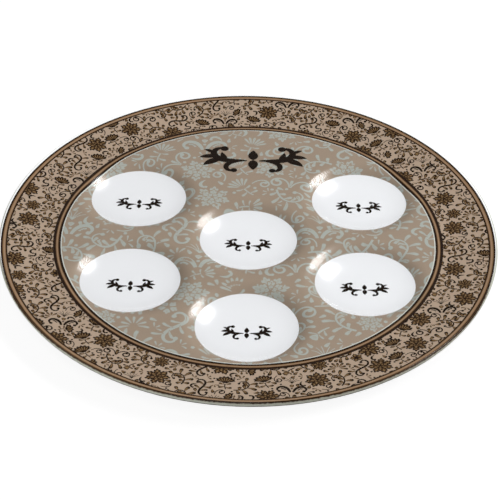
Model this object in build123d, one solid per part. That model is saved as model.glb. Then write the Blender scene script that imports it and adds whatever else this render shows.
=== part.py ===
"""Seder plate: a round slumped-glass dish with six wells, printed on its underside, on small bumper feet.

Lengths are in millimetres. +Z is up, the feet stand on z = 0 and the plate's axis is the Z axis.
The diner sits on the -Y side, so the ornament above the wells is on the +Y side.
"""

import os
from math import cos, radians, sin, tan

from build123d import *

# Plate
PLATE_R = 200.0  # glass edge
GLASS_T = 4.0  # glass thickness, the same in field, rim and wells
EDGE_BULGE = 1.2  # how far the ground edge swells past the top and bottom corners
RIM_W = 41.0  # from the glass edge in to where the rim meets the flat field
RIM_BEND_R = 60.0  # bend between field and rim, on the top face
RIM_ANGLE = 9.5  # slope of the rim, degrees

# Wells: one in the middle and five of the six places of a hexagon round it
WELL_ANGLES = {
    "shank_bone": 30.0,
    "egg": 150.0,
    "parsley": 210.0,
    "lettuce": 270.0,
    "haroset": 330.0,
}
CENTRE_WELL = "bitter_herb"
FIELD_MARGIN = 0.5  # flat glass left between an outer well and the rim
WELL_WEB = 2.5  # flat glass left between two wells
FLOOR_R = 16.0  # flat floor of a well
SHOULDER_R = 22.8  # convex arc from the bowl to the field, on the top face
WALL_ANGLE = 30.0  # steepest slope, where bowl and shoulder meet, degrees

# Print and coat on the underside
PRINT_T = 0.30
COAT_T = 0.30
BOND_T = 0.15  # clear bond between the layers, left open
INNER_BORDER_W = 6.2
INNER_BORDER_IN = 1.6  # flat field left between the inner border and the bend of the rim
OUTER_BORDER_W = 5.2

# Bumper feet, one under each well
FOOT_R = 6.4  # at the coat
FOOT_BASE_R = 4.9  # at the table
FOOT_H = 3.0
FOOT_ROUND = 0.8

# Radii that follow from these
FIELD_R = PLATE_R - RIM_W
WELL_RING_R = (FIELD_R - FIELD_MARGIN + 0.5 * WELL_WEB) / 1.5
MOUTH_R = 0.5 * (WELL_RING_R - WELL_WEB)
BOWL_R = (MOUTH_R - FLOOR_R) / sin(radians(WALL_ANGLE)) - SHOULDER_R
DISC_R = FLOOR_R + BOWL_R * sin(radians(WALL_ANGLE))
PRINT_EDGE_R = PLATE_R - EDGE_BULGE
INNER_BORDER = (FIELD_R - INNER_BORDER_IN - INNER_BORDER_W, FIELD_R - INNER_BORDER_IN)
OUTER_BORDER = (PRINT_EDGE_R - OUTER_BORDER_W, PRINT_EDGE_R)

# Depths under the top face, and heights
WELL_DEPTH = (BOWL_R + SHOULDER_R) * (1.0 - cos(radians(WALL_ANGLE)))
PRINT_TOP = GLASS_T + BOND_T
PRINT_BOTTOM = PRINT_TOP + PRINT_T
COAT_TOP = PRINT_BOTTOM + BOND_T
COAT_BOTTOM = COAT_TOP + COAT_T
FIELD_Z = FOOT_H + COAT_BOTTOM + WELL_DEPTH
CUTTER_H = 8.0 * FIELD_Z  # crosses the whole plate, up and down


def well_centres():
    """Name and centre of every well, the middle one first."""
    centres = {CENTRE_WELL: (0.0, 0.0)}
    for name, angle in WELL_ANGLES.items():
        x = WELL_RING_R * cos(radians(angle))
        y = WELL_RING_R * sin(radians(angle))
        centres[name] = (x, y)
    return centres


def on_arc(centre, radius, angle):
    """Point of an arc in the XZ plane. The angle runs from +X towards +Z, in degrees."""
    a = radians(angle)
    return Vector(centre[0] + radius * cos(a), 0.0, centre[1] + radius * sin(a))


def arc(centre, radius, start, end):
    """Arc edge in the XZ plane between two angles in degrees."""
    middle = 0.5 * (start + end)
    return Edge.make_three_point_arc(
        on_arc(centre, radius, start),
        on_arc(centre, radius, middle),
        on_arc(centre, radius, end),
    )


def line(r0, z0, r1, z1):
    """Straight edge in the XZ plane."""
    return Edge.make_line(Vector(r0, 0.0, z0), Vector(r1, 0.0, z1))


def rim_height(r, depth):
    """Height, over the field's top, of the rim cone at radius r and this depth under the top face."""
    a = radians(RIM_ANGLE)
    start_r = FIELD_R + (RIM_BEND_R + depth) * sin(a)
    start_z = RIM_BEND_R - (RIM_BEND_R + depth) * cos(a)
    return start_z + (r - start_r) * tan(a)


def dish_edges(depth, end_r):
    """Field, bend and rim cone at this depth under the top face, from the axis to end_r."""
    bend = arc((FIELD_R, RIM_BEND_R), RIM_BEND_R + depth, -90.0, RIM_ANGLE - 90.0)
    start = bend.position_at(1)
    return [
        line(0.0, -depth, FIELD_R, -depth),
        bend,
        line(start.X, start.Z, end_r, rim_height(end_r, depth)),
    ]


def cup_edges(depth):
    """Floor, bowl arc and shoulder arc of a well at this depth under the top face, from its axis out."""
    floor_z = -WELL_DEPTH - depth
    bowl = arc((FLOOR_R, BOWL_R - WELL_DEPTH), BOWL_R + depth, -90.0, WALL_ANGLE - 90.0)
    shoulder = arc((MOUTH_R, -SHOULDER_R), SHOULDER_R - depth, 90.0 + WALL_ANGLE, 90.0)
    return [line(0.0, floor_z, FLOOR_R, floor_z), bowl, shoulder]


def turned(edges):
    """Solid turned about the Z axis from a closed outline in the XZ plane."""
    return revolve(Face(Wire(edges)), Axis.Z)


def dish(top, bottom, end_r, bulge=0.0):
    """Field and rim without wells, between two depths. The outside edge swells by bulge."""
    corner_r = end_r - bulge
    high = rim_height(corner_r, top)
    low = rim_height(corner_r, bottom)
    if bulge > 0.0:
        outside = Edge.make_three_point_arc(
            Vector(corner_r, 0.0, high),
            Vector(end_r, 0.0, 0.5 * (high + low)),
            Vector(corner_r, 0.0, low),
        )
    else:
        outside = line(corner_r, high, corner_r, low)
    inside = line(0.0, -top, 0.0, -bottom)
    return turned(dish_edges(top, corner_r) + [outside, inside] + dish_edges(bottom, corner_r))


def cup(top, bottom):
    """One well between two depths, from its axis to its mouth."""
    inside = line(0.0, -WELL_DEPTH - top, 0.0, -WELL_DEPTH - bottom)
    mouth = line(MOUTH_R, -top, MOUTH_R, -bottom)
    return turned(cup_edges(top) + [mouth, inside] + cup_edges(bottom))


def column(radius, centre=(0.0, 0.0)):
    """Tall round cutter that crosses the whole plate."""
    return Pos(centre[0], centre[1], 0.0) * Cylinder(radius, CUTTER_H)


def sheet(top, bottom, end_r, bulge=0.0):
    """The whole plate between two depths: the dish with its six wells."""
    body = dish(top, bottom, end_r, bulge)
    mouths = [column(MOUTH_R, centre) for centre in well_centres().values()]
    cups = [Pos(x, y, 0.0) * cup(top, bottom) for x, y in well_centres().values()]
    return (body - mouths).fuse(*cups)


def band(body, inside, outside):
    """The part of a sheet between two radii."""
    return (body & column(outside)) - column(inside)


def foot():
    """Bumper foot, standing on z = 0 and stuck to the coat at its wide end."""
    body = Cone(FOOT_BASE_R, FOOT_R, FOOT_H, align=(Align.CENTER, Align.CENTER, Align.MIN))
    return fillet(body.edges().sort_by(Axis.Z)[0], FOOT_ROUND)


def one_solid(shape):
    """The single solid of a shape. Stops if a cut has split it or left nothing."""
    solids = shape.solids()
    if len(solids) != 1:
        raise ValueError("expected one solid, found %d" % len(solids))
    return solids[0]


def make_nodes():
    """Every piece by name, in place."""
    lift = Pos(0.0, 0.0, FIELD_Z)
    print_sheet = sheet(PRINT_TOP, PRINT_BOTTOM, PRINT_EDGE_R)
    discs = [column(DISC_R, centre) for centre in well_centres().values()]
    nodes = {
        "glass_plate": lift * sheet(0.0, GLASS_T, PLATE_R, EDGE_BULGE),
        "rim_print": lift * band(print_sheet, INNER_BORDER[1], OUTER_BORDER[0]),
        "outer_border": lift * band(print_sheet, *OUTER_BORDER),
        "inner_border": lift * band(print_sheet, *INNER_BORDER),
        "centre_print": lift * ((print_sheet & column(INNER_BORDER[0])) - discs),
        "back_coat": lift * sheet(COAT_TOP, COAT_BOTTOM, PRINT_EDGE_R),
    }
    spot = cup(PRINT_TOP, PRINT_BOTTOM) & column(DISC_R)
    for name, (x, y) in well_centres().items():
        nodes[name + "_disc"] = Pos(x, y, FIELD_Z) * spot
        nodes[name + "_foot"] = Pos(x, y, 0.0) * foot()
    return nodes


def main():
    os.makedirs("parts", exist_ok=True)
    for name, shape in make_nodes().items():
        export_step(one_solid(shape), "parts/%s.step" % name)


main()
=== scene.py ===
"""Looks of a slumped-glass seder plate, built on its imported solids.

Laid out as an add-on and run as a script. Lengths are in metres, and in millimetres within the motifs.
"""

from collections import namedtuple
from math import cos, pi, radians, sin, tan

import bpy
import numpy as np
from mathutils import Matrix, Vector


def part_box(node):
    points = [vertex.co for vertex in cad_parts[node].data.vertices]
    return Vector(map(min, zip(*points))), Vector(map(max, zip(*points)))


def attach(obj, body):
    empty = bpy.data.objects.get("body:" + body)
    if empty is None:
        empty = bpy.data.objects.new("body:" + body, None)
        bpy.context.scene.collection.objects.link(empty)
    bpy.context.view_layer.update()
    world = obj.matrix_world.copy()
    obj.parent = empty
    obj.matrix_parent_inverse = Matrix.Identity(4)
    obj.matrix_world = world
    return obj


bl_info = {
    "name": "Seder plate",
    "version": (1, 0, 0),
    "blender": (4, 5, 0),
    "location": "3D View > Sidebar > Plate",
    "description": "Glass plate with a printed floral rim, a damask field and white wells",
    "category": "Object",
}

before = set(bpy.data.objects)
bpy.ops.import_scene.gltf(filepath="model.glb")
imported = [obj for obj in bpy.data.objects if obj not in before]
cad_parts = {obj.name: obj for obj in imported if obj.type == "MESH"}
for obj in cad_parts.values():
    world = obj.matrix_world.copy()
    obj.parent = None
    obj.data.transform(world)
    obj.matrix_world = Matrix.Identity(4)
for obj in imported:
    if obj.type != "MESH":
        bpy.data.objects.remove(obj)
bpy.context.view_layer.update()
MM = 0.001
WELLS = ("bitter_herb", "shank_bone", "egg", "parsley", "lettuce", "haroset")


def box_size(node):
    """Size of a CAD node's box, in metres."""
    low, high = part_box(node)
    return high - low


def box_middle(node):
    """Middle of a CAD node's box, in metres."""
    low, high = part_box(node)
    return (low + high) * 0.5


def tint(red, green, blue):
    """Linear colour from 8-bit screen values."""
    c = np.array([red, green, blue], float) / 255.0
    linear = np.where(c <= 0.04045, c / 12.92, ((c + 0.055) / 1.055) ** 2.4)
    return tuple(float(v) for v in linear)


# Sizes and colours


def length(name, words, default):
    """A length property in metres."""
    return bpy.props.FloatProperty(name=name, description=words, default=default, unit="LENGTH", precision=5)


def turn(name, words, default):
    """An angle property in radians."""
    return bpy.props.FloatProperty(name=name, description=words, default=default, subtype="ANGLE")


def paint(name, words, red, green, blue):
    """A colour property given in 8-bit screen values."""
    shade = tint(red, green, blue)
    return bpy.props.FloatVectorProperty(
        name=name, description=words, default=shade, subtype="COLOR", min=0.0, max=1.0
    )


class PlateSizes(bpy.types.PropertyGroup):
    """Sizes of the plate that the prints follow"""

    field_radius: length("Field radius", "Flat field, out to the bend of the rim", 159.0 * MM)
    rim_bend: length("Rim bend", "Radius of the bend between field and rim", 60.0 * MM)
    rim_angle: turn("Rim angle", "Slope of the rim", radians(9.5))
    mouth_radius: length("Mouth radius", "Where a well begins", 52.0 * MM)
    floor_radius: length("Floor radius", "Flat floor of a well", 16.0 * MM)
    shoulder: length("Shoulder", "Radius of a well's convex arc", 22.8 * MM)
    wall_angle: turn("Wall angle", "Steepest slope in a well", radians(30.0))
    film_depth: length("Film depth", "Depth of the printed films under the top face", 4.15 * MM)
    film_thickness: length("Film thickness", "Thickness of the printed films", 0.3 * MM)
    damask_scale: bpy.props.FloatProperty(
        name="Damask scale", description="Against the rim's repeat", default=1.75
    )
    ink_lift: length("Ink lift", "How far the drawn motifs lie over their film", 0.05 * MM)
    level_step: length("Level step", "Height between overlapping petals", 0.006 * MM)
    disc_radius: length("Disc radius", "White disc in a well", box_size("egg_disc").x * 0.5)
    centre_radius: length("Centre radius", "Edge of the damask field", box_size("centre_print").x * 0.5)
    rim_inside: length("Rim inside", "Inside edge of the floral band", box_size("inner_border").x * 0.5)
    rim_outside: length("Rim outside", "Outside edge of the floral band", box_size("rim_print").x * 0.5)
    print_edge: length("Print edge", "Outside edge of the outer border", box_size("outer_border").x * 0.5)
    plate_radius: length("Plate radius", "Edge of the glass", box_size("glass_plate").x * 0.5)
    pale_line: length("Pale line", "Width of the line inside the inner border", 0.8 * MM)
    well_flourish: length("Well flourish", "Scale of the ornament in a well", 10.2 * MM)
    field_flourish: length("Field flourish", "Scale of the ornament on the field", 24.0 * MM)
    flourish_across: length("Flourish across", "Place of the field's ornament along X", 3.0 * MM)
    flourish_away: length("Flourish away", "Place of the field's ornament along Y", 106.0 * MM)


class PlateColours(bpy.types.PropertyGroup):
    """Colours of the inks, the coat and the glass"""

    taupe: paint("Taupe", "Ground of the floral band", 177, 156, 136)
    dark_brown: paint("Dark brown", "Outlines of the flowers", 24, 13, 4)
    mid_brown: paint("Mid brown", "Inside of the petals", 92, 68, 41)
    light_brown: paint("Light brown", "Heart of the petals", 148, 117, 80)
    # Border dark is also painted along the top of the glass's ground edge, to stand in for the print seen
    # through the glass.
    border_dark: paint("Border dark", "Lines of the borders", 36, 22, 12)
    border_tan: paint("Border tan", "Band between the border lines", 138, 104, 70)
    beige: paint("Beige", "Ground of the damask", 157, 140, 123)
    mist: paint("Mist", "Damask motifs", 169, 173, 166)
    white: paint("White", "Discs in the wells", 238, 239, 242)
    coat: paint("Coat", "Sealing coat on the underside", 226, 222, 214)
    glass: paint("Glass", "Tint of the glass", 253, 254, 253)
    glass_edge: paint("Glass edge", "Tint of the ground edge", 234, 240, 226)
    pale_line: paint("Pale line", "Line inside the inner border", 212, 213, 206)


def between(first, second, share):
    """Colour at a share of the way from the first to the second."""
    return tuple((1.0 - share) * a + share * b for a, b in zip(first, second))


def sizes():
    """The plate's size properties."""
    return bpy.context.scene.plate_sizes


def colours():
    """The plate's colour properties."""
    return bpy.context.scene.plate_colours


# The plate's surface


def well_centres():
    """Centres of the wells in the plan, as an array of points."""
    return np.array([box_middle(well + "_disc").xy for well in WELLS])


def parallel_height(x, y, depth):
    """Height of the surface that lies `depth` under the top face. The field is level, the rim is an arc and
    then a cone, and a well is a level floor, a bowl arc and a shoulder arc. The arcs share their centres
    with those of the top face, so the glass is equally thick everywhere."""
    s = sizes()
    arcs = (s.mouth_radius - s.floor_radius) / sin(s.wall_angle)
    bowl_radius = arcs - s.shoulder
    well_depth = arcs * (1.0 - cos(s.wall_angle))
    film_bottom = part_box("bitter_herb_disc")[0].z
    field_height = film_bottom + well_depth + s.film_depth + s.film_thickness
    r = np.hypot(x, y)
    bend = s.rim_bend + depth
    cone_start = s.field_radius + bend * sin(s.rim_angle)
    cone = s.rim_bend - bend * cos(s.rim_angle) + (r - cone_start) * tan(s.rim_angle)
    arc = s.rim_bend - np.sqrt(np.maximum(bend**2 - (r - s.field_radius) ** 2, 0.0))
    dish = np.select([r < s.field_radius, r < cone_start], [-depth, arc], cone)
    centres = well_centres()
    rho = np.hypot(x[..., None] - centres[:, 0], y[..., None] - centres[:, 1]).min(axis=-1)
    bowl = bowl_radius + depth
    shoulder = s.shoulder - depth
    bowl_end = s.floor_radius + bowl * sin(s.wall_angle)
    hollow = bowl_radius - well_depth - np.sqrt(np.maximum(bowl**2 - (rho - s.floor_radius) ** 2, 0.0))
    crest = np.sqrt(np.maximum(shoulder**2 - (s.mouth_radius - rho) ** 2, 0.0)) - s.shoulder
    cup = np.select([rho < s.floor_radius, rho < bowl_end], [-well_depth - depth, hollow], crest)
    return field_height + np.where(rho < s.mouth_radius, cup, dish)


# Motifs: flat grids in millimetres, each point with a tone and a level.
# Tone 0 is a petal's outline, about LIGHT is its heart, and LINE, over both, is a drawn line.

Motif = namedtuple("Motif", "xy tone level quads")
LIGHT = 0.85
LINE = 1.0


def grid_quads(rows, columns, closed=False):
    """Quads between the points of a grid, seen from above. A closed grid joins its last column to its
    first."""
    i = np.arange(rows - 1)[:, None]
    j = np.arange(columns if closed else columns - 1)[None, :]
    k = (j + 1) % columns
    corners = (i * columns + j, (i + 1) * columns + j, (i + 1) * columns + k, i * columns + k)
    return np.stack(corners, axis=-1).reshape(-1, 4)


def motif_from(x, y, tone, closed=False):
    """Motif from grids of places and tones."""
    xy = np.stack([x, y], axis=-1).reshape(-1, 2)
    tone = np.broadcast_to(tone, x.shape).reshape(-1)
    return Motif(xy, tone, np.zeros(len(xy)), grid_quads(*x.shape, closed))


def moved(motif, x=0.0, y=0.0, angle=0.0, scale=1.0, level=0.0):
    """A motif scaled, turned by an angle in radians, shifted and raised by some levels."""
    c, s = cos(angle) * scale, sin(angle) * scale
    xy = motif.xy @ np.array([[c, s], [-s, c]]) + (x, y)
    return Motif(xy, motif.tone, motif.level + level, motif.quads)


def mirrored(motif):
    """A motif mirrored across its own X axis, with its quads turned back to face up."""
    return Motif(motif.xy * (1.0, -1.0), motif.tone, motif.level, motif.quads[:, ::-1])


def joined(*motifs):
    """Several motifs as one."""
    starts = np.cumsum([0] + [len(m.xy) for m in motifs[:-1]])
    return Motif(
        np.concatenate([m.xy for m in motifs]),
        np.concatenate([m.tone for m in motifs]),
        np.concatenate([m.level for m in motifs]),
        np.concatenate([m.quads + start for m, start in zip(motifs, starts)]),
    )


def bowed(size, bend, u):
    """Places and headings at the shares `u` of an arc that leaves the origin along +X and turns by `bend`."""
    a = bend * u
    x = size * u * np.sinc(a / pi)
    y = size * u * np.sin(0.5 * a) * np.sinc(0.5 * a / pi)
    return x, y, a


def broadened(x, y, heading, across, tone):
    """Motif whose points lie square to a line's heading, at the distances `across` from the line."""
    return motif_from(x - across * np.sin(heading), y + across * np.cos(heading), tone)


def leaf(size, width, bend=0.0):
    """A pointed leaf along +X. Its middle line is an arc that turns by `bend`; its half width is a power of a
    sine of the way along."""
    u = np.linspace(0.0, 1.0, 15)[:, None]
    v = np.array([-1.0, 0.0, 1.0])[None, :]
    half = 0.5 * width * np.sin(pi * u**0.8) ** 0.85
    return broadened(*bowed(size, bend, u), v * half, LINE)


def petal(size, spread):
    """A broad petal that opens from the origin along +X. Its outline is a polar curve that falls off to both
    sides of `spread`, with a frill of three lobes; its tone is dark along the outline and light inside."""
    t = np.linspace(-1.0, 1.0, 9)[None, :]
    rows = np.array([0.12, 0.5, 0.8, 1.0])[:, None]
    frill = 1.0 - np.abs(np.cos(1.5 * pi * t))
    reach = 1.0 - 0.3 * t**6 - 0.1 * frill
    r = size * rows * (1.0 + rows**2 * (reach - 1.0))
    a = 0.5 * spread * t * (1.0 - 0.25 * rows**3)
    tone = np.array([0.6, 1.0, 0.85, 0.0])[:, None] * LIGHT * (1.0 - t**4)
    return motif_from(r * np.cos(a), r * np.sin(a), tone)


def ribbon(size, start, end, width, tip, rows, belly=0.0):
    """A scroll along +X whose curvature runs evenly from `start` to `end`, so that it winds into a spiral.
    Its width runs from `width` to `tip`, swollen in the middle by twice `belly`. Returns it with its path:
    the places and headings of its rows."""
    s = np.linspace(0.0, 1.0, rows)
    a = size * (start * s + 0.5 * (end - start) * s * s)
    step = size / (rows - 1)
    middle = 0.5 * (a[1:] + a[:-1])
    x = np.concatenate([[0.0], np.cumsum(np.cos(middle))]) * step
    y = np.concatenate([[0.0], np.cumsum(np.sin(middle))]) * step
    half = 0.5 * (width + (tip - width) * s) + belly * np.sin(pi * s)
    v = np.array([-1.0, 1.0])[None, :]
    line = broadened(x[:, None], y[:, None], a[:, None], v * half[:, None], LINE)
    return line, np.stack([x, y, a], axis=-1)


def dot(radius, sides=8):
    """A small round seed: circles of points about its middle."""
    t = np.linspace(0.0, 2.0 * pi, sides, endpoint=False)[None, :]
    r = radius * np.array([0.0, 0.6, 1.0])[:, None]
    return motif_from(r * np.cos(t), r * np.sin(t), LINE, closed=True)


def drop(size, width, bend=0.0):
    """A teardrop along +X, thin at its base and round at its end. Its middle line is an arc that turns by
    `bend`; its half width is a power of the way along times a root that closes the end. It is light
    inside."""
    u = np.array([0.0, 0.2, 0.45, 0.7, 0.86, 0.96, 1.0])[:, None]
    v = np.array([-1.0, -0.45, 0.45, 1.0])[None, :]
    half = 0.84 * width * u**0.8 * np.sqrt(1.0 - u**6)
    tone = LIGHT * (1.0 - v**4) * np.sqrt(np.sin(pi * u**0.7))
    return broadened(*bowed(size, bend, u), v * half, tone)


def spray(size, petals, arc):
    """Teardrop petals that fan out round a point over an arc, long and short by turns, and bend outwards."""
    root = 0.14 * size
    parts = []
    for k, a in enumerate(np.linspace(-0.5 * arc, 0.5 * arc, petals)):
        reach = size * (0.7 if k % 2 else 0.84)
        blade = drop(reach, 0.46 * size * arc / petals, 0.8 * a / arc)
        parts.append(moved(blade, root * cos(a), root * sin(a), a, level=k % 3))
    return joined(*parts)


def frilled(radius, petals):
    """An open flower on a polar grid. Its outline swells to a tip for each petal, with three lobes to a
    petal; its tone is dark along the lobes, in the middle and between two petals, and streaked elsewhere."""
    t = np.linspace(0.0, 2.0 * pi, 12 * petals, endpoint=False)[None, :]
    rows = np.array([0.0, 0.12, 0.22, 0.5, 0.74, 0.87, 1.0])[:, None]
    wave = np.abs(np.cos(0.5 * petals * t))
    tip = 1.0 - np.abs(np.sin(0.5 * petals * t))
    lobe = np.abs(np.cos(1.5 * petals * t))
    reach = 0.54 + 0.22 * wave**0.6 + 0.12 * tip + 0.12 * lobe**0.7
    r = radius * rows * (1.0 + rows**1.5 * (reach - 1.0))
    rise = np.array([0.0, 0.0, 0.6, 0.9, 0.85, 0.5, 0.0])[:, None]
    tone = rise * (0.05 + 0.95 * wave**0.6) * (0.7 + 0.3 * lobe)
    return motif_from(r * np.cos(t), r * np.sin(t), tone, closed=True)


def peony(radius):
    """A full blossom: three open flowers of falling size on each other, each turned against the one below."""
    layers = ((1.0, 7, 0.0), (0.68, 6, 0.3), (0.36, 5, 0.1))
    parts = [
        moved(frilled(share * radius, petals), angle=turn_by, level=float(n))
        for n, (share, petals, turn_by) in enumerate(layers)
    ]
    return joined(*parts)


def carnation(size, lobes=7):
    """A flower from the side: a fan on a polar grid, with a toothed edge and streaks, over two sepals and a
    leafy stalk."""
    t = np.linspace(-1.0, 1.0, 4 * lobes + 1)[None, :]
    rows = np.array([0.12, 0.45, 0.72, 0.88, 1.0])[:, None]
    tooth = np.abs(np.cos(0.5 * pi * lobes * (t + 1.0)))
    reach = 0.86 + 0.16 * tooth - 0.16 * t**4
    r = size * rows * (1.0 + rows**2 * (reach - 1.0))
    a = 1.15 * t * (0.7 + 0.3 * rows)
    tone = np.array([0.1, 0.9, 0.85, 0.5, 0.0])[:, None] * (0.05 + 0.95 * tooth) * (1.0 - t**8)
    stalk, path = ribbon(0.7 * size, 0.0, 1.2 / size, 0.09 * size, 0.08 * size, rows=6)
    fan = motif_from(r * np.cos(a), r * np.sin(a), tone)
    parts = [moved(stalk, angle=pi), moved(fan, level=1.0)]
    for n, side in enumerate((-1.0, 1.0)):
        sepal = drop(0.5 * size, 0.17 * size, -1.2 * side)
        parts.append(moved(sepal, angle=1.9 * side, level=2.0 + n))
        x, y, heading = path[2 + n]
        blade = drop(0.55 * size, 0.19 * size, 0.9 * side)
        parts.append(moved(blade, -x, -y, heading + pi + 0.9 * side, level=4.0 + n))
    return joined(*parts)


def curl(size):
    """A line that winds into a spiral and grows wider, with a round end."""
    width = 0.32 * size
    line, path = ribbon(6.0 * size, 0.2 / size, 2.4 / size, 0.6 * width, width, rows=26)
    return joined(line, moved(dot(0.9 * width), path[-1, 0], path[-1, 1], level=1.0))


def tendrils(size):
    """Two thin spirals that part from one stalk, with a teardrop in the fork."""
    half = moved(curl(size), 0.0, 0.06 * size, 0.25)
    other = moved(mirrored(half), level=2.0)
    return joined(half, other, moved(drop(1.5 * size, 0.5 * size), 0.1 * size, level=4.0))


def frond(size):
    """A curved stem that winds up at its end, with teardrop leaves on both sides, long ones in the middle."""
    leaves = 9
    stem, path = ribbon(3.4 * size, 0.15 / size, 2.6 / size, 0.15 * size, 0.1 * size, rows=34)
    parts = [moved(stem, level=8.0)]
    for n, k in enumerate(np.linspace(2, 24, leaves).astype(int)):
        side = 1.0 if n % 2 else -1.0
        swell = sin(pi * (n + 1.0) / (leaves + 1.0))
        reach = size * (0.55 + 0.5 * swell) * (0.7 if side > 0.0 else 1.0)
        blade = drop(reach, 0.32 * size, 0.9 * side)
        parts.append(moved(blade, path[k, 0], path[k, 1], path[k, 2] + 0.75 * side, level=n % 4))
    parts.append(moved(dot(0.15 * size), path[-1, 0], path[-1, 1], level=9.0))
    return moved(joined(*parts), *-path[:, :2].mean(axis=0))


def horns(size):
    """Two horns that curl away from each other, beaded inside, with a bud between them and fine lines above
    it."""
    horn, path = ribbon(1.9 * size, 0.1 / size, 4.2 / size, 0.16 * size, 0.1 * size, 20, 0.06 * size)
    parts = [horn, moved(dot(0.14 * size), path[-1, 0], path[-1, 1], level=1.0)]
    for k in (5, 7, 9, 11):
        x, y, a = path[k]
        bead = dot(0.07 * size, sides=6)
        parts.append(moved(bead, x - 0.24 * size * sin(a), y + 0.24 * size * cos(a)))
    half = moved(joined(*parts), -0.6 * size, 0.1 * size, 0.3)
    other = moved(mirrored(half), level=0.5)
    fine = []
    for n, (a, bow) in enumerate(((0.12, 0.6), (0.36, 1.2), (0.6, 2.2))):
        line, _ = ribbon(0.8 * size, 0.2 / size, bow / size, 0.05 * size, 0.04 * size, rows=8)
        fine.append(moved(line, 0.55 * size, angle=a, level=1.0 + n))
    lines = joined(*fine)
    other_lines = moved(mirrored(lines), level=3.0)
    bud_head = joined(petal(0.42 * size, 1.7), moved(dot(0.09 * size), -0.12 * size))
    return joined(half, other, bud_head, lines, other_lines)


def hook(size):
    """A comma stroke with a round end."""
    stroke, path = ribbon(1.6 * size, 0.3 / size, 3.4 / size, 0.04 * size, 0.2 * size, 10, 0.1 * size)
    return joined(stroke, moved(dot(0.17 * size), path[-1, 0], path[-1, 1], level=1.0))


def bud(size):
    """A closed flower on a curved stalk, with two sepals and a leaf."""
    stalk, path = ribbon(size, 0.0, -0.9 / size, 0.12 * size, 0.16 * size, rows=6)
    x, y, a = path[-1]
    parts = [stalk, moved(petal(0.85 * size, 1.5), x, y, a, level=1.0)]
    for side in (-1.0, 1.0):
        sepal = drop(0.75 * size, 0.2 * size, 0.8 * side)
        parts.append(moved(sepal, x, y, a + 0.85 * side, level=2.5 + 0.5 * side))
    blade = drop(0.75 * size, 0.24 * size, -0.8)
    parts.append(moved(blade, path[2, 0], path[2, 1], -0.9, level=1.0))
    return joined(*parts)


def scroll(size):
    """A vine that winds from one spiral into another, with leaves on both sides and a seed at each end."""
    stem, path = ribbon(5.4 * size, -3.1 / size, 3.1 / size, 0.18 * size, 0.18 * size, 44, 0.05 * size)
    parts = [stem]
    for n, k in enumerate(np.linspace(15, 29, 5).astype(int)):
        side = 1.0 if n % 2 else -1.0
        blade = drop(1.1 * size, 0.3 * size, 0.8 * side)
        parts.append(moved(blade, path[k, 0], path[k, 1], path[k, 2] + 0.8 * side, level=1.0 + n))
    for x, y, _ in (path[0], path[-1]):
        parts.append(moved(dot(0.2 * size), x, y, level=7.0))
    return moved(joined(*parts), *-path[:, :2].mean(axis=0))


def flourish(size):
    """An ornament along X: a lozenge of leaves in the middle and, on each side, a bold scroll that curls up,
    a smaller one that curls down, and leaves between them."""
    rising, high = ribbon(2.0 * size, -0.9 / size, 4.4 / size, 0.06 * size, 0.1 * size, 51, 0.1 * size)
    falling, low = ribbon(1.25 * size, 0.6 / size, -6.2 / size, 0.05 * size, 0.08 * size, 36, 0.07 * size)
    seed_up = moved(dot(0.15 * size, sides=20), high[-1, 0], high[-1, 1])
    seed_down = moved(dot(0.12 * size, sides=20), low[-1, 0], low[-1, 1])
    low_half = moved(joined(falling, seed_down), 0.1 * size, 0.0, -0.3, level=1.0)
    parts = [rising, low_half, moved(seed_up, level=2.0)]
    leaves = ((18, 1.0, 0.55), (24, -1.0, 0.75), (30, -1.0, 0.6), (36, -1.0, 0.42))
    for n, (k, side, reach) in enumerate(leaves):
        blade = leaf(reach * size, 0.4 * reach * size, 0.6 * side)
        parts.append(moved(blade, high[k, 0], high[k, 1], high[k, 2] + 0.75 * side, level=3.0 + n))
    half = moved(joined(*parts), 0.22 * size, -0.05 * size, 0.12)
    other = moved(mirrored(half), angle=pi)
    tip = leaf(0.6 * size, 0.36 * size)
    lozenge = [moved(tip, angle=(k + 0.5) * pi, level=1.0 + k) for k in range(2)]
    return joined(half, other, *lozenge)


# Layout, in millimetres

TILE = (116.0, 92.0)
CELL = 0.4  # grid on which taken places are marked
TRIES = 1500  # random places for each kind of motif
SEED = 5  # of the random places
TINY = 1e-9  # least radius to divide by


def packed(kinds):
    """Motifs packed on a repeating tile. Each is tried at random places, upright within its sway, and stays
    where its points lie on free cells, counted across the tile's edges too."""
    rng = np.random.default_rng(SEED)
    cells = np.round(np.array(TILE) / CELL).astype(int)
    taken = np.zeros(cells, bool)
    parts = []
    for motif, wanted, sway in kinds:
        found = 0
        for x, y, share in rng.random((TRIES, 3)):
            spot = moved(motif, x * TILE[0], y * TILE[1], 0.5 * pi + sway * (2.0 * share - 1.0))
            points = np.concatenate([spot.xy, spot.xy[spot.quads].mean(axis=1)])
            i, j = (np.floor(points / CELL).astype(int) % cells).T
            if taken[i, j].any():
                continue
            taken[i, j] = True
            parts.append(spot)
            found += 1
            if found == wanted:
                break
    return joined(*parts)


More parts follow.
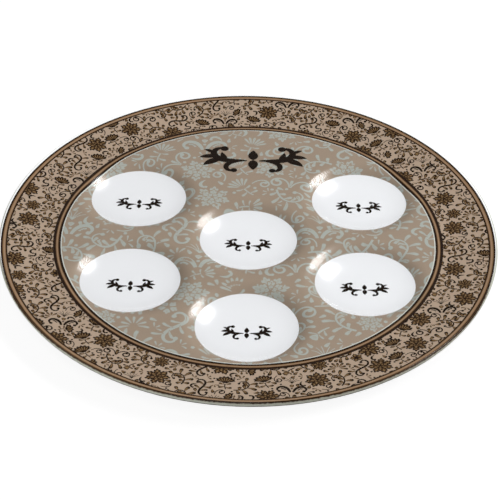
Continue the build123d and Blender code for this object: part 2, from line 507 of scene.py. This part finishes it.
def swatch():
    """The floral repeat that rim and field share: large motifs first, then small ones in the gaps. Each row
    has a motif, how many are wanted and how far they may turn from upright."""
    kinds = [
        (horns(9.4), 2, 0.15),
        (peony(9.8), 6, pi),
        (frond(7.6), 5, pi),
        (mirrored(frond(7.6)), 4, pi),
        (carnation(9.6), 6, 0.9),
        (scroll(6.2), 4, pi),
        (tendrils(4.2), 3, 1.2),
        (peony(7.0), 7, pi),
        (carnation(7.2, 5), 6, 1.6),
        (spray(8.0, 7, 3.2), 10, pi),
        (curl(3.4), 4, pi),
        (mirrored(curl(3.4)), 4, pi),
        (frilled(5.2, 5), 8, pi),
        (bud(7.0), 8, pi),
        (mirrored(bud(6.4)), 8, pi),
        (spray(6.0, 5, 2.6), 16, pi),
        (hook(5.2), 12, pi),
        (spray(4.4, 3, 1.7), 30, pi),
        (drop(4.6, 2.4, 0.7), 40, pi),
        (dot(0.9), 16, pi),
    ]
    return packed(kinds)


def repeated(motif, tile, reach):
    """Copies of a tile's motif side by side, out to a reach from the middle."""
    counts = [int(reach / width) + 2 for width in tile]
    steps = [np.arange(-count, count) * width for count, width in zip(counts, tile)]
    shifts = np.stack(np.meshgrid(*steps), axis=-1).reshape(-1, 1, 2)
    copies = len(shifts)
    quads = motif.quads[None] + (np.arange(copies) * len(motif.xy))[:, None, None]
    xy = (motif.xy[None] + shifts).reshape(-1, 2)
    return Motif(xy, np.tile(motif.tone, copies), np.tile(motif.level, copies), quads.reshape(-1, 4))


def kept_in_band(xy, inside, outside):
    """Points drawn in or out to a band of radii, and which of them had to move."""
    r = np.maximum(np.hypot(xy[:, 0], xy[:, 1]), TINY)
    scale = np.clip(r, inside, outside) / r
    return xy * scale[:, None], np.abs(scale - 1.0) > TINY


def kept_off_discs(xy, centres, radius):
    """Points pushed out of the round windows, and which of them had to move."""
    hit = np.zeros(len(xy), bool)
    for centre in centres:
        off = xy - centre
        rho = np.maximum(np.hypot(off[:, 0], off[:, 1]), TINY)
        inside = rho < radius
        xy = np.where(inside[:, None], centre + off * (radius / rho)[:, None], xy)
        hit |= inside
    return xy, hit


# Meshes and materials

INK_ROUGHNESS = 0.8


def printed(name, motif, xy, hidden, material):
    """A mesh of ink lying just over its film: the motif's plan, in metres, dropped onto the parallel surface.
    Quads whose four corners were all moved to an edge are left out, and so are those that are folded over."""
    s = sizes()
    across = xy[motif.quads[:, 2]] - xy[motif.quads[:, 0]]
    along = xy[motif.quads[:, 3]] - xy[motif.quads[:, 1]]
    upright = across[:, 0] * along[:, 1] > across[:, 1] * along[:, 0]
    quads = motif.quads[upright & ~hidden[motif.quads].all(axis=1)]
    used, renumbered = np.unique(quads, return_inverse=True)
    xy = xy[used]
    lift = s.ink_lift + s.level_step * motif.level[used]
    z = parallel_height(xy[:, 0], xy[:, 1], s.film_depth) + lift
    mesh = bpy.data.meshes.new(name)
    mesh.from_pydata(np.column_stack([xy, z]), [], renumbered.reshape(-1, 4).tolist())
    tone = mesh.attributes.new("tone", "FLOAT", "POINT")
    tone.data.foreach_set("value", motif.tone[used].astype(np.float32))
    mesh.shade_smooth()
    mesh.materials.append(material)
    piece = bpy.data.objects.new(name, mesh)
    bpy.context.scene.collection.objects.link(piece)
    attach(piece, "root")


def new_material(name, roughness, shine=0.0):
    """A material with one Principled shader. Returns it with its nodes, links and shader."""
    material = bpy.data.materials.new(name)
    material.use_nodes = True
    nodes = material.node_tree.nodes
    shader = next(n for n in nodes if n.type == "BSDF_PRINCIPLED")
    shader.inputs["Roughness"].default_value = roughness
    shader.inputs["Specular IOR Level"].default_value = shine
    return material, nodes, material.node_tree.links, shader


def ramped(nodes, links, value, stops):
    """Colour that follows a value through (place, colour) stops, as an output socket."""
    ramp = nodes.new("ShaderNodeValToRGB")
    elements = ramp.color_ramp.elements
    while len(elements) < len(stops):
        elements.new(1.0)
    for element, (place, shade) in zip(elements, stops):
        element.position = place
        element.color = (*shade, 1.0)
    links.new(value, ramp.inputs["Fac"])
    return ramp.outputs["Color"]


def plain_ink(name, shade, roughness=INK_ROUGHNESS, shine=0.0):
    """Ink or film of one colour."""
    material, _, _, shader = new_material(name, roughness, shine)
    shader.inputs["Base Color"].default_value = (*shade, 1.0)
    return material


def evened_ink(name, shade, share):
    """Thick ink that scatters the light and so hides part of its slope: its normal leans towards the plate's
    axis by a share."""
    material, nodes, links, shader = new_material(name, INK_ROUGHNESS)
    shader.inputs["Base Color"].default_value = (*shade, 1.0)
    face = nodes.new("ShaderNodeNewGeometry")
    up = nodes.new("ShaderNodeVectorTransform")
    up.vector_type = "NORMAL"
    up.convert_from, up.convert_to = "OBJECT", "WORLD"
    up.inputs["Vector"].default_value = (0.0, 0.0, 1.0)
    lean = nodes.new("ShaderNodeMix")
    lean.data_type = "VECTOR"
    lean.inputs["Factor"].default_value = share
    # A Mix node's sockets share their names, so its vector ones are taken by number.
    links.new(face.outputs["Normal"], lean.inputs[4])
    links.new(up.outputs["Vector"], lean.inputs[5])
    links.new(lean.outputs[1], shader.inputs["Normal"])
    return material


def toned_ink(name, stops):
    """Ink whose colour follows the motif's own tone."""
    material, nodes, links, shader = new_material(name, INK_ROUGHNESS)
    tone = nodes.new("ShaderNodeAttribute")
    tone.attribute_name = "tone"
    shade = ramped(nodes, links, tone.outputs["Fac"], stops)
    links.new(shade, shader.inputs["Base Color"])
    return material


def ring_range(nodes, links):
    """A Map Range node that takes in a point's distance from the plate's axis."""
    place = nodes.new("ShaderNodeTexCoord")
    plan = nodes.new("ShaderNodeVectorMath")
    plan.operation = "MULTIPLY"
    plan.inputs[1].default_value = (1.0, 1.0, 0.0)
    radius = nodes.new("ShaderNodeVectorMath")
    radius.operation = "LENGTH"
    share = nodes.new("ShaderNodeMapRange")
    links.new(place.outputs["Object"], plan.inputs[0])
    links.new(plan.outputs["Vector"], radius.inputs[0])
    links.new(radius.outputs["Value"], share.inputs["Value"])
    return share


def ring_share_group():
    """Node group that gives how far a point lies between two radii about the plate's axis, from 0 to 1."""
    group = bpy.data.node_groups.get("Ring share")
    if group:
        return group
    group = bpy.data.node_groups.new("Ring share", "ShaderNodeTree")
    for name in ("Inside", "Outside"):
        group.interface.new_socket(name, in_out="INPUT", socket_type="NodeSocketFloat")
    group.interface.new_socket("Share", in_out="OUTPUT", socket_type="NodeSocketFloat")
    nodes, links = group.nodes, group.links
    entry = nodes.new("NodeGroupInput")
    share = ring_range(nodes, links)
    leave = nodes.new("NodeGroupOutput")
    links.new(entry.outputs["Inside"], share.inputs["From Min"])
    links.new(entry.outputs["Outside"], share.inputs["From Max"])
    links.new(share.outputs["Result"], leave.inputs["Share"])
    return group


def ringed_ink(name, inside, outside, stops):
    """Film whose colour follows the distance from the plate's axis."""
    material, nodes, links, shader = new_material(name, INK_ROUGHNESS)
    rings = nodes.new("ShaderNodeGroup")
    rings.node_tree = ring_share_group()
    rings.inputs["Inside"].default_value = inside
    rings.inputs["Outside"].default_value = outside
    shade = ramped(nodes, links, rings.outputs["Share"], stops)
    links.new(shade, shader.inputs["Base Color"])
    return material


def clear_body(name, roughness, ior):
    """Clear material that is bonded to what lies under it. Rays bend on their way in and run straight from
    there, and lamps shine through. Returns it with its nodes, links and shader."""
    material, nodes, links, shader = new_material(name, roughness, shine=0.5)
    shader.inputs["Transmission Weight"].default_value = 1.0
    shader.inputs["IOR"].default_value = ior
    rays = nodes.new("ShaderNodeLightPath")
    face = nodes.new("ShaderNodeNewGeometry")
    lit = nodes.new("ShaderNodeMath")
    lit.operation = "MAXIMUM"
    clear = nodes.new("ShaderNodeMath")
    clear.operation = "MAXIMUM"
    through = nodes.new("ShaderNodeBsdfTransparent")
    mix = nodes.new("ShaderNodeMixShader")
    output = next(n for n in nodes if n.type == "OUTPUT_MATERIAL")
    links.new(rays.outputs["Is Shadow Ray"], lit.inputs[0])
    links.new(rays.outputs["Is Diffuse Ray"], lit.inputs[1])
    links.new(lit.outputs["Value"], clear.inputs[0])
    links.new(face.outputs["Backfacing"], clear.inputs[1])
    links.new(clear.outputs["Value"], mix.inputs[0])
    links.new(shader.outputs["BSDF"], mix.inputs[1])
    links.new(through.outputs["BSDF"], mix.inputs[2])
    links.new(mix.outputs["Shader"], output.inputs["Surface"])
    return material, nodes, links, shader


def chipped_painted_border_height(nodes, links, low, high, front):
    """How far up a point lies between two heights, from about 0 to 1 and uneven as chipped glass, as an
    output socket. It sets where the ground edge turns to the border's dark, which is painted there to stand
    in for the print seen through the glass. Away from the front, which lies at this Y, it is lowered, so that
    only the front's edge takes on this painted dark of the border."""
    chips_per_metre, chip_height, painted_border_lowered_by = 450.0, 0.3, 0.7
    place = nodes.new("ShaderNodeTexCoord")
    axes = nodes.new("ShaderNodeSeparateXYZ")
    share = nodes.new("ShaderNodeMapRange")
    share.inputs["From Min"].default_value = low
    share.inputs["From Max"].default_value = high
    away = nodes.new("ShaderNodeMapRange")
    away.inputs["From Min"].default_value = 0.5 * front
    away.inputs["From Max"].default_value = 0.0
    away.inputs["To Max"].default_value = painted_border_lowered_by
    chips = nodes.new("ShaderNodeTexNoise")
    chips.inputs["Scale"].default_value = chips_per_metre
    uneven = nodes.new("ShaderNodeMath")
    uneven.operation = "MULTIPLY_ADD"
    uneven.inputs[1].default_value = chip_height
    lowered = nodes.new("ShaderNodeMath")
    lowered.operation = "SUBTRACT"
    links.new(place.outputs["Object"], axes.inputs["Vector"])
    links.new(place.outputs["Object"], chips.inputs["Vector"])
    links.new(axes.outputs["Z"], share.inputs["Value"])
    links.new(axes.outputs["Y"], away.inputs["Value"])
    links.new(chips.outputs["Fac"], uneven.inputs[0])
    links.new(share.outputs["Result"], uneven.inputs[2])
    links.new(uneven.outputs["Value"], lowered.inputs[0])
    links.new(away.outputs["Result"], lowered.inputs[1])
    return lowered.outputs["Value"]


def edged_glass(name, shade, stops, inside, outside, low, high):
    """Clear glass with a ground edge. The grinding begins between two distances from the plate's axis, and
    its colour follows the height. Lower down it is the glass's own edge tint. At the top it is the border's
    dark, painted on to stand in for the print seen through the glass. Half of its light comes through the
    glass."""
    material, nodes, links, shader = clear_body(name, roughness=0.18, ior=1.5)
    shader.inputs["Base Color"].default_value = (*shade, 1.0)
    grinding = 0.85
    rings = ring_range(nodes, links)
    rings.inputs["From Min"].default_value = inside
    rings.inputs["From Max"].default_value = outside
    height = chipped_painted_border_height(nodes, links, low, high, front=-outside)
    ground = ramped(nodes, links, height, stops)
    frost_and_painted_border = nodes.new("ShaderNodeMixShader")
    for n, kind in enumerate(("ShaderNodeBsdfDiffuse", "ShaderNodeBsdfTranslucent")):
        half = nodes.new(kind)
        links.new(ground, half.inputs["Color"])
        links.new(half.outputs["BSDF"], frost_and_painted_border.inputs[1 + n])
    depth = nodes.new("ShaderNodeMath")
    depth.operation = "MULTIPLY"
    depth.inputs[1].default_value = grinding
    edged = nodes.new("ShaderNodeMixShader")
    output = next(n for n in nodes if n.type == "OUTPUT_MATERIAL")
    mix = output.inputs["Surface"].links[0].from_node
    links.new(rings.outputs["Result"], depth.inputs[0])
    links.new(depth.outputs["Value"], edged.inputs[0])
    links.new(shader.outputs["BSDF"], edged.inputs[1])
    links.new(frost_and_painted_border.outputs["Shader"], edged.inputs[2])
    links.new(edged.outputs["Shader"], mix.inputs[1])
    return material


def clear_rubber(name, shade):
    """Soft clear plastic."""
    material, _, _, shader = clear_body(name, roughness=0.25, ior=1.45)
    shader.inputs["Base Color"].default_value = (*shade, 1.0)
    return material


def dress(nodes, material):
    """Gives CAD nodes a material."""
    for node in nodes:
        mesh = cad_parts[node].data
        mesh.materials.clear()
        mesh.materials.append(material)


# Pieces


class PLATE_OT_glass(bpy.types.Operator):
    """Give the glass and the bumper feet their finish"""

    bl_idname = "plate.glass"
    bl_label = "Glass and feet"

    def execute(self, context):
        c, s = colours(), sizes()
        bulge = s.plate_radius - s.print_edge
        # The grinding starts just inside the print's edge and is full just past it.
        start = s.print_edge - 0.1 * bulge
        end = s.print_edge + 0.12 * bulge
        high, low = (self.corner_height(depth) for depth in (0.0, s.film_depth))
        # Up the ground edge the tint turns to the border's dark. This is painted on to stand in for the print
        # seen through the glass, on the front edge only.
        stops = [(0.0, c.glass_edge), (0.8, c.glass_edge), (0.98, c.border_dark)]
        glass = edged_glass("clear glass", c.glass, stops, start, end, low, high)
        dress(["glass_plate"], glass)
        dress([well + "_foot" for well in WELLS], clear_rubber("clear rubber", c.glass))
        return {"FINISHED"}

    def corner_height(self, depth):
        """Height of the parallel surface at the print's edge."""
        corner = np.array([sizes().print_edge])
        return float(parallel_height(corner, 0.0 * corner, depth)[0])


class PLATE_OT_films(bpy.types.Operator):
    """Colour the printed films and the coat"""

    bl_idname = "plate.films"
    bl_label = "Films and coat"

    def execute(self, context):
        c, s = colours(), sizes()
        dark, mid = c.border_dark, c.border_tan
        pale = between(c.border_tan, c.taupe, 0.5)
        inner = [(0.0, dark), (0.26, dark), (0.36, mid), (0.46, pale), (0.56, mid), (0.66, dark)]
        outer = [(0.0, dark), (0.2, dark), (0.28, mid), (0.4, pale), (0.64, mid), (0.74, dark)]
        line = s.centre_radius - s.pale_line
        field = [(0.0, c.beige), (0.46, c.beige), (0.54, c.pale_line)]
        dress(["rim_print"], plain_ink("rim ground", c.taupe))
        dress(["outer_border"], ringed_ink("outer border", s.rim_outside, s.print_edge, outer))
        dress(["inner_border"], ringed_ink("inner border", s.centre_radius, s.rim_inside, inner))
        dress(["centre_print"], ringed_ink("damask ground", line - s.pale_line, s.centre_radius, field))
        dress([well + "_disc" for well in WELLS], evened_ink("white ink", c.white, share=0.85))
        dress(["back_coat"], plain_ink("sealing coat", c.coat, roughness=0.4, shine=0.4))
        return {"FINISHED"}


class PLATE_OT_rim_flowers(bpy.types.Operator):
    """Print the flowers of the rim"""

    bl_idname = "plate.rim_flowers"
    bl_label = "Rim flowers"

    def execute(self, context):
        c, s = colours(), sizes()
        motif = repeated(swatch(), TILE, s.rim_outside / MM)
        xy, hidden = kept_in_band(motif.xy * MM, s.rim_inside, s.rim_outside)
        dark, mid = c.dark_brown, c.mid_brown
        stops = [(0.0, dark), (0.46, dark), (0.64, mid), (0.9, c.light_brown), (0.96, dark)]
        printed("rim_flowers", motif, xy, hidden, toned_ink("flower ink", stops))
        return {"FINISHED"}


class PLATE_OT_damask(bpy.types.Operator):
    """Print the damask of the field"""

    bl_idname = "plate.damask"
    bl_label = "Damask"

    def execute(self, context):
        c, s = colours(), sizes()
        scale = s.damask_scale
        tile = (TILE[0] * scale, TILE[1] * scale)
        motif = repeated(moved(swatch(), scale=scale), tile, s.centre_radius / MM)
        xy, past = kept_in_band(motif.xy * MM, 0.0, s.centre_radius - s.pale_line)
        xy, under = kept_off_discs(xy, well_centres(), s.disc_radius)
        ground, mist = c.beige, c.mist
        deep = between(mist, ground, 0.3)
        stops = [(0.0, ground), (0.36, ground), (0.52, mist), (0.7, mist), (0.84, deep), (0.93, mist)]
        printed("centre_damask", motif, xy, past | under, toned_ink("damask ink", stops))
        return {"FINISHED"}


class PLATE_OT_flourishes(bpy.types.Operator):
    """Print a flourish in each well and a larger one on the far side of the field"""

    bl_idname = "plate.flourishes"
    bl_label = "Flourishes"

    def execute(self, context):
        c, s = colours(), sizes()
        over_damask = 9.0
        ink = plain_ink("flourish ink", c.dark_brown)
        small = flourish(s.well_flourish / MM)
        large = flourish(s.field_flourish / MM)
        parts = [moved(small, *(centre / MM)) for centre in well_centres()]
        parts.append(moved(large, s.flourish_across / MM, s.flourish_away / MM))
        motif = moved(joined(*parts), level=over_damask)
        hidden = np.zeros(len(motif.xy), bool)
        printed("flourishes", motif, motif.xy * MM, hidden, ink)
        return {"FINISHED"}


class PLATE_OT_stage(bpy.types.Operator):
    """Set the floor, the lamps, the world and the camera"""

    bl_idname = "plate.stage"
    bl_label = "Stage"

    def execute(self, context):
        scene = context.scene
        scene.view_settings.view_transform = "Standard"
        self.floor()
        self.world(scene)
        self.lamp("softbox", (0.5, 0.497, 0.709), distance=2.6, width=1.28, power=62.0, core=0.5)
        self.lamp("side light", (0.8, 0.02, 0.6), distance=3.2, width=1.45, power=58.0, core=0.9)
        self.lamp("fill", (-0.15, -0.55, 0.82), distance=2.4, width=1.5, power=19.0, core=0.9)
        self.camera(scene)
        return {"FINISHED"}

    def floor(self):
        """A wide sheet of paper. Where the camera or the glass sees it, a glow makes it white, and the lamps'
        light on its grey keeps a soft shadow."""
        reach, grey, strength = 6.0, 0.18, 0.9
        corners = [(-reach, -reach, 0.0), (reach, -reach, 0.0), (reach, reach, 0.0), (-reach, reach, 0.0)]
        mesh = bpy.data.meshes.new("floor")
        mesh.from_pydata(corners, [], [(0, 1, 2, 3)])
        floor = bpy.data.objects.new("floor", mesh)
        bpy.context.scene.collection.objects.link(floor)
        material, nodes, links, shader = new_material("white paper", 0.9)
        shader.inputs["Base Color"].default_value = (grey, grey, grey, 1.0)
        shader.inputs["Emission Color"].default_value = (1.0, 1.0, 1.0, 1.0)
        rays = nodes.new("ShaderNodeLightPath")
        seen = nodes.new("ShaderNodeMath")
        seen.operation = "MAXIMUM"
        also = nodes.new("ShaderNodeMath")
        also.operation = "MAXIMUM"
        glow = nodes.new("ShaderNodeMath")
        glow.operation = "MULTIPLY"
        glow.inputs[1].default_value = strength
        links.new(rays.outputs["Is Camera Ray"], seen.inputs[0])
        links.new(rays.outputs["Is Transmission Ray"], seen.inputs[1])
        links.new(seen.outputs["Value"], also.inputs[0])
        links.new(rays.outputs["Is Glossy Ray"], also.inputs[1])
        links.new(also.outputs["Value"], glow.inputs[0])
        links.new(glow.outputs["Value"], shader.inputs["Emission Strength"])
        mesh.materials.append(material)

    def world(self, scene):
        """Even faint light from all round."""
        strength = 0.12
        world = bpy.data.worlds.new("studio")
        world.use_nodes = True
        sky = world.node_tree.nodes["Background"]
        sky.inputs["Color"].default_value = (1.0, 1.0, 1.0, 1.0)
        sky.inputs["Strength"].default_value = strength
        scene.world = world

    def lamp(self, name, direction, distance, width, power, core):
        """A round lamp that looks at the plate from a direction. It is even within a share of its radius, the
        core, and fades out towards its edge."""
        light = bpy.data.lights.new(name, "AREA")
        light.shape = "DISK"
        light.size = width
        light.energy = power
        light.use_nodes = True
        nodes, links = light.node_tree.nodes, light.node_tree.links
        glow = next(n for n in nodes if n.type == "EMISSION")
        place = nodes.new("ShaderNodeNewGeometry")
        off = nodes.new("ShaderNodeVectorMath")
        off.operation = "DISTANCE"
        # A lamp's Parametric coordinates run from 0 to 1 across it.
        off.inputs[1].default_value = (0.5, 0.5, 0.0)
        fade = nodes.new("ShaderNodeMapRange")
        fade.interpolation_type = "SMOOTHSTEP"
        fade.inputs["From Min"].default_value = 0.5
        fade.inputs["From Max"].default_value = 0.5 * core
        links.new(place.outputs["Parametric"], off.inputs[0])
        links.new(off.outputs["Value"], fade.inputs["Value"])
        links.new(fade.outputs["Result"], glow.inputs["Strength"])
        lamp = bpy.data.objects.new(name, light)
        way = Vector(direction).normalized()
        lamp.location = way * distance
        lamp.rotation_mode = "QUATERNION"
        lamp.rotation_quaternion = way.to_track_quat("Z", "Y")
        bpy.context.scene.collection.objects.link(lamp)

    def camera(self, scene):
        """A long lens from the diner's side, matched to the photograph's view."""
        aim_height, distance, elevation = 0.021, 1.243816, radians(38.1)
        pan, tilt, roll = radians(-0.07), radians(0.71), radians(0.99)
        focal_pixels, picture_pixels, sensor = 1539.5, 500.0, 36.0
        forward = Vector((0.0, cos(elevation), -sin(elevation)))
        right = Vector((1.0, 0.0, 0.0))
        rows = Matrix((right, -right.cross(forward), forward))
        for angle, axis in ((pan, "Y"), (tilt, "X"), (roll, "Z")):
            rows = Matrix.Rotation(angle, 3, axis) @ rows
        data = bpy.data.cameras.new("camera")
        data.sensor_width = sensor
        data.lens = sensor * focal_pixels / picture_pixels
        camera = bpy.data.objects.new("camera", data)
        turned = Matrix((rows[0], -rows[1], -rows[2])).transposed()
        place = Vector((0.0, -distance * cos(elevation), aim_height + distance * sin(elevation)))
        camera.matrix_world = Matrix.Translation(place) @ turned.to_4x4()
        scene.collection.objects.link(camera)
        scene.camera = camera


class PLATE_PT_panel(bpy.types.Panel):
    """Steps and settings of the plate"""

    bl_idname = "PLATE_PT_panel"
    bl_label = "Seder plate"
    bl_space_type = "VIEW_3D"
    bl_region_type = "UI"
    bl_category = "Plate"

    def draw(self, context):
        for step in STEPS:
            self.layout.operator(step.bl_idname)
        for group in (context.scene.plate_sizes, context.scene.plate_colours):
            for name in group.__annotations__:
                self.layout.prop(group, name)


STEPS = (
    PLATE_OT_glass,
    PLATE_OT_films,
    PLATE_OT_rim_flowers,
    PLATE_OT_damask,
    PLATE_OT_flourishes,
    PLATE_OT_stage,
)
CLASSES = (PlateSizes, PlateColours, *STEPS, PLATE_PT_panel)


def register():
    for cls in CLASSES:
        bpy.utils.register_class(cls)
    bpy.types.Scene.plate_sizes = bpy.props.PointerProperty(type=PlateSizes)
    bpy.types.Scene.plate_colours = bpy.props.PointerProperty(type=PlateColours)


def unregister():
    del bpy.types.Scene.plate_colours
    del bpy.types.Scene.plate_sizes
    for cls in reversed(CLASSES):
        bpy.utils.unregister_class(cls)


def main():
    register()
    bpy.ops.plate.glass()
    bpy.ops.plate.films()
    bpy.ops.plate.rim_flowers()
    bpy.ops.plate.damask()
    bpy.ops.plate.flourishes()
    bpy.ops.plate.stage()


if __name__ == "__main__":
    main()
